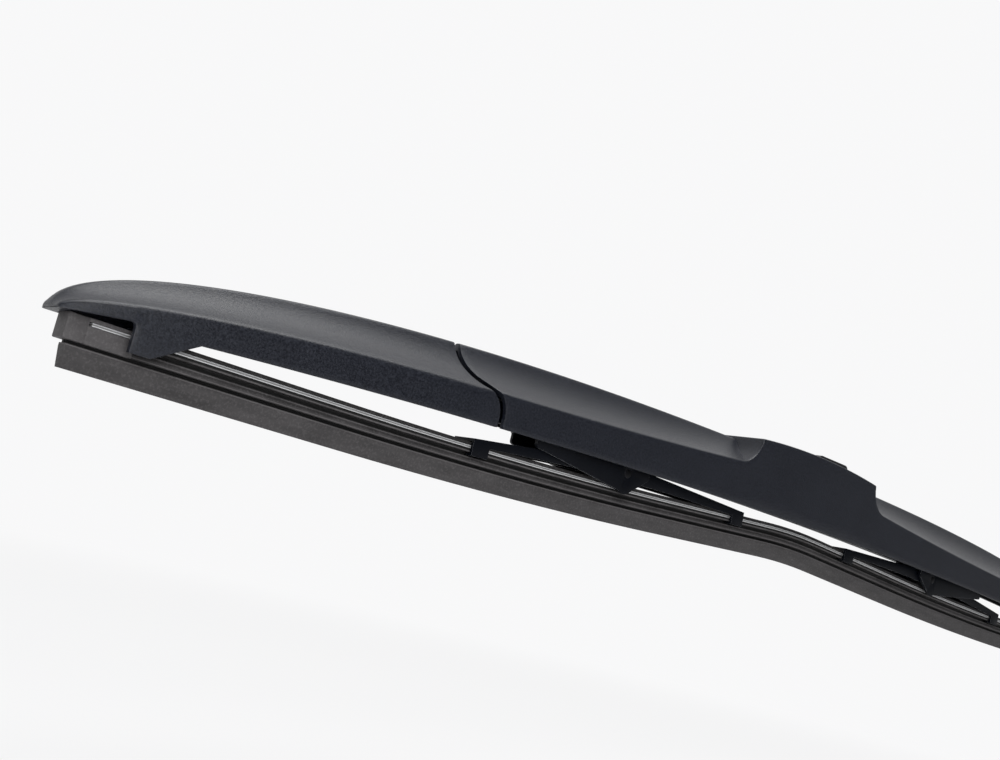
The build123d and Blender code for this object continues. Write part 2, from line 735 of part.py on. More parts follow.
with BuildPart() as side_cover_right:
    skin_stations = stations(cover_reach, skin_steps)
    loft(sections=[cover_section(x, 0, cover_floor) for x in skin_stations], ruled=True)
    with BuildSketch(Plane.XZ) as outline:
        with BuildLine():
            seam_curve(seam_gap / 2)
            skirt_arc(seam_x + seam_gap / 2, leg_start_x)
            leg_low_z = strip_z(tip_claw_x) - leg_under_strips
            heel_top = (leg_heel_x, bottom_z(leg_heel_x) + heel_lift)
            nose_end = (cover_reach + cavity_end, bottom_z(cover_reach + cavity_end) + nose_lift)
            Polyline((leg_start_x, bottom_z(leg_start_x)), (leg_toe_x, leg_low_z), (leg_heel_x, leg_low_z),
                     heel_top, nose_end, (cover_reach + cavity_end, cover_sky),
                     (seam_x + seam_lean + seam_gap / 2, cover_sky),
                     (seam_x + seam_lean + seam_gap / 2, strip_mid_z + seam_high))
        make_face()
        fillet(outline.vertices().sort_by_distance(heel_top)[0], leg_corner)
    extrude(amount=far, both=True, mode=Mode.INTERSECT)
    cavity_stations = stations(cavity_end_x, cavity_steps)
    loft(sections=[cover_section(x, cover_wall, cover_floor - far) for x in cavity_stations],
         ruled=True, mode=Mode.SUBTRACT)
    extrude(to_extrude=rear_gap(cover_start_x, leg_start_x), amount=-far, mode=Mode.SUBTRACT)
    first_rib_x = seam_x + rib_from_seam
    last_rib_x = leg_start_x - rib_from_leg
    side_ribs = (first_rib_x, (first_rib_x + last_rib_x) / 2, last_rib_x)
    for rib_x in side_ribs:
        rib = cover_section(rib_x, cover_wall - rib_root, lever_top(rib_x) + rib_seat_gap)
        extrude(to_extrude=rib, amount=rib_thickness)
    for clip_x in (side_ribs[0] + clip_from_rib, side_ribs[1] + clip_from_rib):
        hook_z = lever_low(clip_x + clip_length) - clip_gap
        extrude(to_extrude=snap_clip(clip_x, lever_half - clip_reach, hook_z), amount=clip_length)
side_cover_right.part.label = "side_cover_right"
export_step(side_cover_right.part, "parts/side_cover_right.step")

with BuildPart() as side_cover_left:
    add(mirror(side_cover_right.part, about=Plane.YZ, mode=Mode.PRIVATE))
side_cover_left.part.label = "side_cover_left"
export_step(side_cover_left.part, "parts/side_cover_left.step")


# Centre cover: spoiler shell over the primary lever, with a level hump where the arm goes in
scoop_end_x = seam_x + seam_lean + far
hump_foot_x = hump_half + hump_flare
hump_foot_z = ridge_z(hump_foot_x)


def dome_z(x):
    """Height of the hump's domed top."""
    return strip_mid_z + hump_height - hump_radius + sqrt(hump_radius**2 - x**2)


# Section stations of the slope, from inside the hump to past the seam
scoop_run = scoop_end_x - hump_pocket_half
scoop_steps = 8
scoop_stations = [hump_pocket_half + scoop_run * step / scoop_steps for step in range(scoop_steps + 1)]


def slope_section(x):
    """Section of what the slopes and the crest leave free above the centre cover."""
    crest = crest_z(x)
    crest_front = (crest_setback - crest_width / 2, crest)
    with BuildSketch(Plane.YZ.offset(x)) as section:
        with BuildLine():
            foot = (-cover_half, ridge_z(x))
            ThreePointArc(foot, slope_middle(foot, crest_front), crest_front)
            Polyline(crest_front, (crest_setback + crest_width / 2, crest), (cover_half, ridge_z(x)),
                     (far, ridge_z(x)), (far, cover_sky), (-far, cover_sky), (-far, ridge_z(x)), foot)
        make_face()
    return section.sketch


with BuildPart() as slope_cut:
    loft(sections=[slope_section(x) for x in scoop_stations], ruled=True)
    with BuildSketch(Plane.XZ):
        with BuildLine():
            flare_mid = hump_flare * (1 - sqrt(0.5))
            Polyline((hump_foot_x, hump_foot_z), (hump_foot_x, -far), (0, -far), (0, cover_sky + far),
                     (hump_half, cover_sky + far), (hump_half, hump_foot_z + hump_flare))
            ThreePointArc((hump_half, hump_foot_z + hump_flare),
                          (hump_half + flare_mid, hump_foot_z + flare_mid), (hump_foot_x, hump_foot_z))
        make_face()
    extrude(amount=2 * far, both=True, mode=Mode.SUBTRACT)

with BuildPart() as centre_cover:
    with BuildSketch(Plane.XZ):
        with BuildLine():
            seam_end_x = seam_x + seam_lean - seam_gap / 2
            seam_curve(-seam_gap / 2)
            skirt_arc(0, seam_x - seam_gap / 2)
            Polyline((seam_end_x, strip_mid_z + seam_high), (seam_end_x, dome_z(hump_half)),
                     (hump_half, dome_z(hump_half)))
            ThreePointArc((hump_half, dome_z(hump_half)), (hump_half / 2, dome_z(hump_half / 2)),
                          (0, dome_z(0)))
            Line((0, dome_z(0)), (0, bottom_z(0)))
        make_face()
    extrude(amount=cover_half, both=True)
    add(slope_cut.part, mode=Mode.SUBTRACT)
    loft(sections=[cover_section(x, cover_wall, bottom_z(0) - 2 * far) for x in scoop_stations[::2]],
         ruled=True, mode=Mode.SUBTRACT)
    with BuildSketch(Plane.XY.offset(-2 * far)):
        Rectangle(2 * hump_pocket_half, 2 * (cover_half - hump_wall))
    extrude(amount=4 * far, mode=Mode.SUBTRACT)
    extrude(to_extrude=rear_gap(0, seam_end_x), amount=-far, mode=Mode.SUBTRACT)
    for rib_x in (centre_rib_x, centre_rib_x + rib_pitch, centre_rib_x + 2 * rib_pitch):
        rib = cover_section(rib_x, cover_wall - rib_root, primary_top(rib_x) + rib_seat_gap)
        extrude(to_extrude=rib, amount=rib_thickness)
    for clip_x in (centre_clip_x, centre_clip_x + 2 * rib_pitch):
        hook_z = primary_low_edge(clip_x + clip_length) - clip_gap
        extrude(to_extrude=snap_clip(clip_x, primary_half - clip_reach, hook_z), amount=clip_length)
    mirror(about=Plane.YZ)
centre_cover.part.label = "centre_cover"
export_step(centre_cover.part, "parts/centre_cover.step")
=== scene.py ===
from math import asin, atan, cos, pi, radians, sin, sqrt, tan

import bmesh
import bpy
from mathutils import Matrix, Vector
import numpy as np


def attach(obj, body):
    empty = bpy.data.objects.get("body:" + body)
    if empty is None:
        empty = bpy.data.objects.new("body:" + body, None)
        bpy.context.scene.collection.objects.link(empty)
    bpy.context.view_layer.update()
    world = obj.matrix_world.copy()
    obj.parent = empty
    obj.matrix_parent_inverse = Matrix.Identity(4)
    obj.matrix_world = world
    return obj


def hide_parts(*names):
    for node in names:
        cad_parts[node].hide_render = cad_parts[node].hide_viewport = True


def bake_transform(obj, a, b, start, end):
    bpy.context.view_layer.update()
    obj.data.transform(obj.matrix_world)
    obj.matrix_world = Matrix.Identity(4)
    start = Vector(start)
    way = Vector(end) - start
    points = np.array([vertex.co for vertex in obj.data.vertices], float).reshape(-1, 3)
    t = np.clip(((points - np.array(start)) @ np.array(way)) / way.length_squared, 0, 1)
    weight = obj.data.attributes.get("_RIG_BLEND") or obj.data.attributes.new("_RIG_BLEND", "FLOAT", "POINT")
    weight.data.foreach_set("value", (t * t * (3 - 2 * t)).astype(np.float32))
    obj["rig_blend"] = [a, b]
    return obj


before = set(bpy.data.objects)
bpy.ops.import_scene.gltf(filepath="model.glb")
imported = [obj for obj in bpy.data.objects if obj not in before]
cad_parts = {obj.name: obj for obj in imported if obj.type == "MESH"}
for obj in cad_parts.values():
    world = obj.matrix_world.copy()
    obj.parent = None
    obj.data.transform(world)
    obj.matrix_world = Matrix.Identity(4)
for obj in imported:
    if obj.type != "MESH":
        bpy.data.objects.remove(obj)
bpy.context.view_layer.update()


# Photo set: the blade hangs over a wide pale floor in a white room, lit by a large soft lamp overhead and a
# smaller one off the left tip. The camera stands off that tip, a little low, and looks up along the blade.
class Shade:
    """A socket in a node tree. Arithmetic on it adds Math nodes, and node() adds any other node."""

    def __init__(self, tree, socket=None):
        self.tree = tree
        self.socket = socket

    def node(self, kind, settings=None, inputs=None, output=0):
        made = self.tree.nodes.new(kind)
        for name, value in (settings or {}).items():
            setattr(made, name, value)
        for name, value in (inputs or {}).items():
            if isinstance(value, Shade):
                self.tree.links.new(value.socket, made.inputs[name])
            else:
                made.inputs[name].default_value = value
        return Shade(self.tree, made.outputs[output] if made.outputs else None)

    def math(self, operation, *values):
        return self.node("ShaderNodeMath", {"operation": operation}, dict(enumerate(values)))

    def __add__(self, other):
        return self.math("ADD", self, other)

    def __sub__(self, other):
        return self.math("SUBTRACT", self, other)

    def __rsub__(self, other):
        return self.math("SUBTRACT", other, self)

    def __mul__(self, other):
        return self.math("MULTIPLY", self, other)

    __radd__ = __add__
    __rmul__ = __mul__

    def blend(self, low, high):
        """A colour between low and high, by this value."""
        return self.node("ShaderNodeMix", {"data_type": "RGBA"}, {0: self, 6: low, 7: high}, 2)


def new_finish(name):
    """An empty material, with a Shade that adds nodes to it."""
    finish = bpy.data.materials.new(name)
    finish.use_nodes = True
    finish.node_tree.nodes.clear()
    return finish, Shade(finish.node_tree)


def shown_white(shade, direction):
    """How far a ray sees the white background: from the camera in full, and mirrored less in front.
    The second value is one for both kinds of ray, and nought for the rays that light the blade."""
    from_camera, glossy, clear = [shade.node("ShaderNodeLightPath", output=ray) for ray in (
        "Is Camera Ray", "Is Glossy Ray", "Is Transmission Ray")]
    mirrored = shade.math("MINIMUM", glossy + clear, 1.0)
    toward = shade.node("ShaderNodeSeparateXYZ", inputs={0: direction}, output="Y")
    behind = shade.node("ShaderNodeMapRange", {"interpolation_type": "SMOOTHSTEP"},
                        {"Value": toward, "From Min": -0.5, "From Max": 0.4, "To Min": 0.12, "To Max": 1.0})
    shown = shade.math("MAXIMUM", from_camera, mirrored * behind)
    return shown, shade.math("MAXIMUM", from_camera, mirrored)


pale = (0.94, 0.94, 0.945, 1)
floor_finish, shade = new_finish("pale_floor")
place = shade.node("ShaderNodeTexCoord", output="Object")
shown, _ = shown_white(shade, shade.node("ShaderNodeVectorMath", {"operation": "NORMALIZE"}, {0: place}))
painted = shade.node("ShaderNodeBsdfDiffuse", inputs={"Color": (0.82, 0.82, 0.82, 1)})
white = shade.node("ShaderNodeEmission", inputs={"Color": pale, "Strength": 1.0})
away = shade.node("ShaderNodeVectorMath", {"operation": "LENGTH"}, {0: place}, "Value")
faded = shade.node("ShaderNodeMapRange", {"interpolation_type": "SMOOTHSTEP"},
                   {"Value": away, "From Min": 0.35, "From Max": 1.0, "To Min": 0.88, "To Max": 1.0})
mixed = shade.node("ShaderNodeMixShader", inputs={0: shown * faded, 1: painted, 2: white})
shade.node("ShaderNodeOutputMaterial", inputs={"Surface": mixed})

floor_drop = -0.125
floor_radius = 3.0
floor_bm = bmesh.new()
bmesh.ops.create_circle(floor_bm, cap_ends=True, segments=64, radius=floor_radius,
                        matrix=Matrix.Translation((0, 0, floor_drop)))
floor_mesh = bpy.data.meshes.new("floor")
floor_bm.to_mesh(floor_mesh)
floor_bm.free()
floor_mesh.materials.append(floor_finish)
floor = bpy.data.objects.new("floor", floor_mesh)
bpy.context.scene.collection.objects.link(floor)

room_light = 0.25
room = bpy.data.worlds.new("white_room")
room.use_nodes = True
room.node_tree.nodes.clear()
shade = Shade(room.node_tree)
shown, looked_at = shown_white(shade, shade.node("ShaderNodeTexCoord", output="Generated"))
sky = shade.node("ShaderNodeBackground", inputs={
    "Color": pale, "Strength": shown + (1.0 - looked_at) * room_light})
shade.node("ShaderNodeOutputWorld", inputs={"Surface": sky})
bpy.context.scene.world = room
bpy.context.scene.view_settings.view_transform = "Standard"

lamps_aim = Vector((-0.15, 0.0, 0.0))
for lamp_name, lamp_place, lamp_size, watts in (
        ("soft_lamp", Vector((-0.08, -0.05, 1.1)), 0.8, 10.5),
        ("fill_lamp", Vector((-0.55, -0.78, 0.26)), 0.6, 6.0)):
    lamp_data = bpy.data.lights.new(lamp_name, "AREA")
    lamp_data.size = lamp_size
    lamp_data.energy = watts
    lamp = bpy.data.objects.new(lamp_name, lamp_data)
    lamp.location = lamp_place
    lamp.rotation_euler = (lamps_aim - lamp_place).to_track_quat("-Z", "Y").to_euler()
    bpy.context.scene.collection.objects.link(lamp)

lens = bpy.data.cameras.new("photo_camera")
lens.lens = 46.8
lens.sensor_width = 36.0
lens.clip_start = 0.01
camera = bpy.data.objects.new("photo_camera", lens)
camera_place = Vector((-0.4144, -0.2946, -0.0565))
to_right = Vector((0.7108, -0.6625, 0.2363))
to_front = Vector((0.6485, 0.7474, 0.1448))
to_top = to_right.cross(to_front)
turn = Matrix((to_right, to_top, -to_front)).transposed().to_4x4()
camera.matrix_world = Matrix.Translation(camera_place) @ turn
bpy.context.scene.collection.objects.link(camera)
bpy.context.scene.camera = camera


# Wiper rubber: one extrusion of natural rubber with a head, a groove for the claws, a thin tilting neck and
# the wiping lip, and a block moulded on each end. It is drawn in three lengths, because the middle hangs
# from the frame and each side bends from its yoke to its lever. Heights count from the steel strips.
strip_middle = -15.0
crown_radius = 300.0
flank_angle = radians(3.1)
end_angle = radians(0.1)
flank_start = 75.0
flank_radius = 2600.0
crown_end = crown_radius * sin(flank_angle)
flank_end = flank_start + flank_radius * (sin(flank_angle) - sin(end_angle))
inner_claw_x = 37.4
tip_claw_x = 273.0
rubber_half = 294.5


def strip_z(x):
    """Height of the strips at x: a crowned middle, straight flanks and a flat run to the ends."""
    x = abs(x)
    z = strip_middle - crown_radius + sqrt(crown_radius**2 - min(x, crown_end) ** 2)
    z -= max(min(x, flank_start) - crown_end, 0) * tan(flank_angle)
    if x > flank_start:
        centre_x = flank_start + flank_radius * sin(flank_angle)
        z += flank_radius * cos(flank_angle) - sqrt(flank_radius**2 - (min(x, flank_end) - centre_x) ** 2)
        z -= max(x - flank_end, 0) * tan(end_angle)
    return z


def sweep(outline, rounding, stations):
    """A closed section with softened corners, extruded from station to station along the strips."""
    bm = bmesh.new()
    first = stations[0]
    bm.faces.new([bm.verts.new((first, y, strip_z(first) + height)) for y, height in outline])
    bmesh.ops.bevel(bm, geom=bm.verts[:], offset=rounding, affect="VERTICES", segments=2, profile=0.5,
                    material=-1)
    ring = bm.edges[:]
    for here, there in zip(stations, stations[1:]):
        made = bmesh.ops.extrude_edge_only(bm, edges=ring)["geom"]
        new_verts = [item for item in made if isinstance(item, bmesh.types.BMVert)]
        ring = [item for item in made if isinstance(item, bmesh.types.BMEdge)]
        bmesh.ops.translate(bm, verts=new_verts, vec=(there - here, 0, strip_z(there) - strip_z(here)))
    bmesh.ops.contextual_create(bm, geom=ring)
    bmesh.ops.recalc_face_normals(bm, faces=bm.faces[:])
    over_strips = bm.verts.layers.float.new("over_strips")
    for vert in bm.verts:
        vert[over_strips] = vert.co.z - strip_z(vert.co.x)
    return bm


def run(start, end, steps):
    """Even stations from start to end."""
    return [start + (end - start) * step / steps for step in range(steps + 1)]


def add_bar(bm, outline, start, length, rounding=0.0):
    """An outline in y and z, extruded along the blade from start, with its edges rounded."""
    face = bm.faces.new([bm.verts.new((start, y, z)) for y, z in outline])
    made = bmesh.ops.extrude_face_region(bm, geom=[face])["geom"]
    ends = [item for item in made if isinstance(item, bmesh.types.BMVert)]
    bmesh.ops.translate(bm, verts=ends, vec=(length, 0, 0))
    if rounding:
        edges = {edge for vert in face.verts[:] + ends for edge in vert.link_edges}
        bmesh.ops.bevel(bm, geom=list(edges), offset=rounding, affect="EDGES", segments=2, profile=0.5,
                        material=-1)


def new_piece(name, bm, finish, nodes, sharp=40):
    """A finished piece from a mesh drawn in millimetres, which stands for the CAD nodes."""
    bmesh.ops.scale(bm, verts=bm.verts[:], vec=(0.001, 0.001, 0.001))
    mesh = bpy.data.meshes.new(name)
    bm.to_mesh(mesh)
    bm.free()
    mesh.shade_smooth()
    mesh.set_sharp_from_angle(angle=radians(sharp))
    mesh.materials.append(finish)
    made = bpy.data.objects.new(name, mesh)
    bpy.context.scene.collection.objects.link(made)
    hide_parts(*nodes)
    return made


block_mark = -14.0
blade_rubber, shade = new_finish("blade_rubber")
place = shade.node("ShaderNodeTexCoord", output="Object")
height = shade.node("ShaderNodeAttribute", {"attribute_name": "over_strips"}, output="Fac")
smear = shade.node("ShaderNodeTexNoise", inputs={
    "Vector": shade.node("ShaderNodeMapping", inputs={"Vector": place, "Scale": (90.0, 900.0, 260.0)}),
    "Scale": 1.0, "Detail": 5.0, "Roughness": 0.6})
dust = shade.node("ShaderNodeTexNoise", inputs={"Vector": place, "Scale": 1500.0, "Detail": 3.0})


def band(height, middle, half):
    """One at this height over the strips, and nought from half away."""
    off = height.math("ABSOLUTE", height - middle)
    return height.node("ShaderNodeMapRange", {"interpolation_type": "SMOOTHSTEP"},
                       {"Value": off, "From Min": half, "From Max": half * 0.4})


specks = shade.node("ShaderNodeMapRange", inputs={"Value": dust, "From Min": 0.5, "From Max": 0.7})
# Painted highlights: thin lighter lines along the rubber's edges, at four heights over the strips.
rubber_edge_highlights = (band(height, -1.3, 0.24) * 1.3 + band(height, -3.1, 0.2) + band(height, -4.5, 0.16)
             + band(height, -6.0, 0.18))
# Darker on the head above the claw groove and on the shoulder. The end blocks are painted lighter, as painted
# light.
head = shade.node("ShaderNodeMapRange", inputs={"Value": height, "From Min": -1.75, "From Max": -1.6})
grey = smear * 0.75 + rubber_edge_highlights * smear * 1.3 + specks * 0.3 + band(height, block_mark, 0.5) * 0.28
grey = grey - head * 0.4 - band(height, -3.3, 0.9) * 0.25
# Painted shade: the claw groove, the neck recess and a line under the strip groove turn almost black.
groove_shade_bands = band(height, -5.25, 0.68) + band(height, -2.25, 0.75) + band(height, -0.75, 0.3)
painted_groove_shade = shade.math("MINIMUM", groove_shade_bands, 1.0)
streaks_and_painted_light = grey.blend((0.014, 0.0132, 0.0137, 1), (0.092, 0.087, 0.0895, 1))
tone = painted_groove_shade.blend(streaks_and_painted_light, (0.004, 0.004, 0.004, 1))
rubber_bump = shade.node("ShaderNodeBump", inputs={
    "Strength": 0.25, "Distance": 0.00004, "Height": smear + dust})
rubber_skin = shade.node("ShaderNodeBsdfPrincipled", inputs={
    "Base Color": tone, "Roughness": 0.52 + smear * 0.2, "Specular IOR Level": 0.3, "Normal": rubber_bump})
shade.node("ShaderNodeOutputMaterial", inputs={"Surface": rubber_skin})

half_section = [
    (3.1, 1.5), (3.1, 0.5), (1.05, 0.5), (1.05, -0.5), (3.1, -0.5), (3.1, -1.65), (1.2, -1.65), (1.2, -2.75),
    (2.5, -2.75), (3.0, -4.85), (0.5, -4.85), (0.5, -5.7), (1.9, -5.7), (1.9, -6.5), (0.35, -11.6)]
rubber_section = half_section + [(-y, height_over) for y, height_over in reversed(half_section)]

rubber_corner = 0.12
middle_stations = run(-inner_claw_x, inner_claw_x, 16)
side_steps = 72
rubber_middle = new_piece("rubber_middle", sweep(rubber_section, rubber_corner, middle_stations),
                          blade_rubber, ["wiper_rubber"])
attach(rubber_middle, "frame")

lip_end_inset = 1.7
block_start, slot_end, end_wall_start = 276.75, 289.2, 289.0
end_corner = 0.3
block_middle = 285.6
block_z = strip_z(block_middle)
block_half = [(3.15, 1.52), (3.15, 0.5), (1.05, 0.5), (1.05, -0.5), (3.15, -0.5), (3.15, -4.87)]
block_section = block_half + [(-y, height_over) for y, height_over in reversed(block_half)]
wall_section = [(3.15, 1.52), (3.15, -4.87), (-3.15, -4.87), (-3.15, 1.52)]
for side, sign in (("left", -1), ("right", 1)):
    side_stations = [sign * x for x in run(inner_claw_x, rubber_half - lip_end_inset, side_steps)]
    bm = sweep(rubber_section, rubber_corner, side_stations)
    swept = set(bm.verts)
    for outline, start, end, rounding in ((block_section, block_start, slot_end, rubber_corner),
                                          (wall_section, end_wall_start, rubber_half, end_corner)):
        raised = [(y, block_z + height_over) for y, height_over in outline]
        add_bar(bm, raised, sign * start, sign * (end - start), rounding)
    over_strips = bm.verts.layers.float["over_strips"]
    # The end blocks get a mark of their own, which keeps the bands off them and gives them the painted light.
    for vert in set(bm.verts) - swept:
        vert[over_strips] = block_mark
    bmesh.ops.recalc_face_normals(bm, faces=bm.faces[:])
    rubber_side = new_piece(f"rubber_{side}", bm, blade_rubber, ["wiper_rubber"])
    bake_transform(rubber_side, f"{side}_yoke", f"{side}_lever", start=(sign * 0.163, 0, -0.017),
             end=(sign * 0.265, 0, -0.018))


# Steel strips: two flat springs rolled from bright stainless steel, one pushed into each side groove of the
# rubber's head. They spread the claws' press along the rubber, and two bright lines on each are painted
# highlights.
strip_half = 288.5
strip_half_wide, strip_half_thick = 1.15, 0.45
strip_corner = 0.12
strip_steel, shade = new_finish("strip_steel")
place = shade.node("ShaderNodeTexCoord", output="Object")
rolled = shade.node("ShaderNodeTexNoise", inputs={
    "Vector": shade.node("ShaderNodeMapping", inputs={"Vector": place, "Scale": (25.0, 6000.0, 6000.0)}),
    "Scale": 1.0, "Detail": 4.0})
stain = shade.node("ShaderNodeTexNoise", inputs={"Vector": place, "Scale": 160.0, "Detail": 4.0})
height = shade.node("ShaderNodeAttribute", {"attribute_name": "over_strips"}, output="Fac")
# Painted highlights: two lighter lines along each strip, by height over the strips.
strip_edge_highlights = band(height, 0.3, 0.22) + band(height, -0.3, 0.16) * 0.7
tone = (rolled * 0.3 + stain * 0.2 + strip_edge_highlights * 0.7).blend((0.12, 0.116, 0.112, 1), (0.76, 0.77, 0.79, 1))
steel_bump = shade.node("ShaderNodeBump", inputs={"Strength": 0.15, "Distance": 0.00002, "Height": rolled})
bright_steel = shade.node("ShaderNodeBsdfPrincipled", inputs={
    "Base Color": tone, "Metallic": 0.6, "Roughness": 0.24 + 0.2 * stain, "Normal": steel_bump})
shade.node("ShaderNodeOutputMaterial", inputs={"Surface": bright_steel})

for edge_name, strip_y in (("front", -2.25), ("rear", 2.25)):
    strip_section = [(strip_y + y * strip_half_wide, z * strip_half_thick) for y, z in (
        (1, 1), (1, -1), (-1, -1), (-1, 1))]
    node = f"vertebra_{edge_name}"
    bm = sweep(strip_section, strip_corner, middle_stations)
    strip_middle_piece = new_piece(f"strip_{edge_name}_middle", bm, strip_steel, [node])
    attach(strip_middle_piece, "frame")
    for side, sign in (("left", -1), ("right", 1)):
        bm = sweep(strip_section, strip_corner, [sign * x for x in run(inner_claw_x, strip_half, side_steps)])
        strip_side = new_piece(f"strip_{edge_name}_{side}", bm, strip_steel, [node])
        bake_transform(strip_side, f"{side}_yoke", f"{side}_lever", start=(sign * 0.163, 0, -0.017),
                 end=(sign * 0.265, 0, -0.018))


# Yokes and levers: channels pressed from sheet steel and dipped in satin black paint; long edges get painted
# highlights.
# Each yoke grips the rubber with two claws, and a side lever has a yoke on one end and a claw on the other.
long_edge = 1.5


def soften(node, offset, finish, body, segments=2):
    """A copy of a CAD node with its sharp edges rounded, as pressing and painting leave them."""
    bm = bmesh.new()
    bm.from_mesh(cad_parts[node].data)
    bmesh.ops.scale(bm, verts=bm.verts[:], vec=(1000.0, 1000.0, 1000.0))
    bmesh.ops.remove_doubles(bm, verts=bm.verts[:], dist=0.001)
    bmesh.ops.dissolve_limit(bm, angle_limit=radians(1.0), verts=bm.verts[:], edges=bm.edges[:])
    sharp = [edge for edge in bm.edges if edge.is_manifold and edge.calc_face_angle() > radians(35)]
    painted_highlight_face = bm.faces.layers.float.new("painted_highlight_face")
    rounded = bmesh.ops.bevel(bm, geom=sharp, offset=offset, affect="EDGES", segments=segments, profile=0.5,
                              material=-1, clamp_overlap=True)
    # Long bevel faces are marked for a painted highlight along the levers' edges.
    for face in rounded["faces"]:
        face[painted_highlight_face] = float(max(edge.calc_length() for edge in face.edges) > long_edge)
    bmesh.ops.triangulate(bm, faces=[face for face in bm.faces if len(face.verts) > 4])
    made = new_piece(f"{node}_dressed", bm, finish, [node])
    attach(made, body)


lever_paint, shade = new_finish("lever_paint")
place = shade.node("ShaderNodeTexCoord", output="Object")
orange_peel = shade.node("ShaderNodeTexNoise", inputs={"Vector": place, "Scale": 900.0, "Detail": 2.0})
film = shade.node("ShaderNodeTexNoise", inputs={"Vector": place, "Scale": 70.0, "Detail": 5.0})
# Painted highlight: the marked long edge faces are painted light grey.
painted_edge_highlight = shade.node("ShaderNodeAttribute", {"attribute_name": "painted_highlight_face"}, output="Fac")
dark = film.blend((0.0010, 0.0014, 0.0026, 1), (0.0030, 0.0040, 0.0070, 1))
tone = (painted_edge_highlight * (0.4 + 0.6 * film)).blend(dark, (0.220, 0.228, 0.245, 1))
paint_bump = shade.node("ShaderNodeBump", inputs={
    "Strength": 0.12, "Distance": 0.00005, "Height": orange_peel})
paint = shade.node("ShaderNodeBsdfPrincipled", inputs={
    "Base Color": tone, "Roughness": 0.3 + 0.16 * film, "Specular IOR Level": 0.14, "Normal": paint_bump})
shade.node("ShaderNodeOutputMaterial", inputs={"Surface": paint})

for side in ("left", "right"):
    soften(f"yoke_{side}", 0.22, lever_paint, f"{side}_yoke", 3)
    soften(f"side_lever_{side}", 0.26, lever_paint, f"{side}_lever", 3)
soften("primary_lever", 0.16, lever_paint, "frame")


# Rivets: plain turned steel pins, peened flush with the channels, that hold the levers together and that
# the arm's adapter turns on. They are dipped with the frame, so their ends are almost as dark as the paint.
rivet_steel, shade = new_finish("rivet_steel")
place = shade.node("ShaderNodeTexCoord", output="Object")
dull = shade.node("ShaderNodeTexNoise", inputs={"Vector": place, "Scale": 420.0, "Detail": 5.0})
tone = dull.blend((0.010, 0.010, 0.012, 1), (0.034, 0.034, 0.038, 1))
rivet_bump = shade.node("ShaderNodeBump", inputs={"Strength": 0.2, "Distance": 0.00004, "Height": dull})
turned = shade.node("ShaderNodeBsdfPrincipled", inputs={
    "Base Color": tone, "Metallic": 1.0, "Roughness": 0.36 + 0.22 * dull, "Normal": rivet_bump})
shade.node("ShaderNodeOutputMaterial", inputs={"Surface": turned})

soften("centre_rivet", 0.15, rivet_steel, "frame")
for side in ("left", "right"):
    soften(f"lever_pin_{side}", 0.12, rivet_steel, "frame")
    soften(f"yoke_pin_{side}", 0.1, rivet_steel, f"{side}_lever")


# Bushes: thin saddles moulded from black nylon, snapped over a channel where it rocks so that steel never
# rubs on steel. They look waxy, with a slight sheen from the mould.
bush_nylon, shade = new_finish("bush_nylon")
place = shade.node("ShaderNodeTexCoord", output="Object")
flow = shade.node("ShaderNodeTexNoise", inputs={"Vector": place, "Scale": 260.0, "Detail": 3.0})
tone = flow.blend((0.022, 0.022, 0.022, 1), (0.04, 0.04, 0.039, 1))
nylon_bump = shade.node("ShaderNodeBump", inputs={"Strength": 0.1, "Distance": 0.00004, "Height": flow})
nylon = shade.node("ShaderNodeBsdfPrincipled", inputs={
    "Base Color": tone, "Roughness": 0.38 + 0.14 * flow, "Normal": nylon_bump})
shade.node("ShaderNodeOutputMaterial", inputs={"Surface": nylon})

for side in ("left", "right"):
    soften(f"yoke_bush_{side}", 0.1, bush_nylon, f"{side}_yoke")
    soften(f"lever_bush_{side}", 0.1, bush_nylon, f"{side}_lever")


# Arm adapter: a moulded clip in the hump's pocket, with a barrel round the centre rivet, two cheeks and a
# roof. The arm's hook snaps round the barrel, and the roof's edge is all that stands out of the hump.
adapter_plastic, shade = new_finish("adapter_plastic")
place = shade.node("ShaderNodeTexCoord", output="Object")
grain = shade.node("ShaderNodeTexNoise", inputs={"Vector": place, "Scale": 2400.0, "Detail": 2.0})
flow = shade.node("ShaderNodeTexNoise", inputs={"Vector": place, "Scale": 120.0, "Detail": 4.0})
tone = flow.blend((0.007, 0.007, 0.008, 1), (0.014, 0.014, 0.016, 1))
adapter_bump = shade.node("ShaderNodeBump", inputs={"Strength": 0.18, "Distance": 0.00004, "Height": grain})
moulding = shade.node("ShaderNodeBsdfPrincipled", inputs={
    "Base Color": tone, "Roughness": 0.4 + 0.14 * flow, "Specular IOR Level": 0.4, "Normal": adapter_bump})
shade.node("ShaderNodeOutputMaterial", inputs={"Surface": moulding})

soften("arm_adapter", 0.35, adapter_plastic, "adapter", 3)


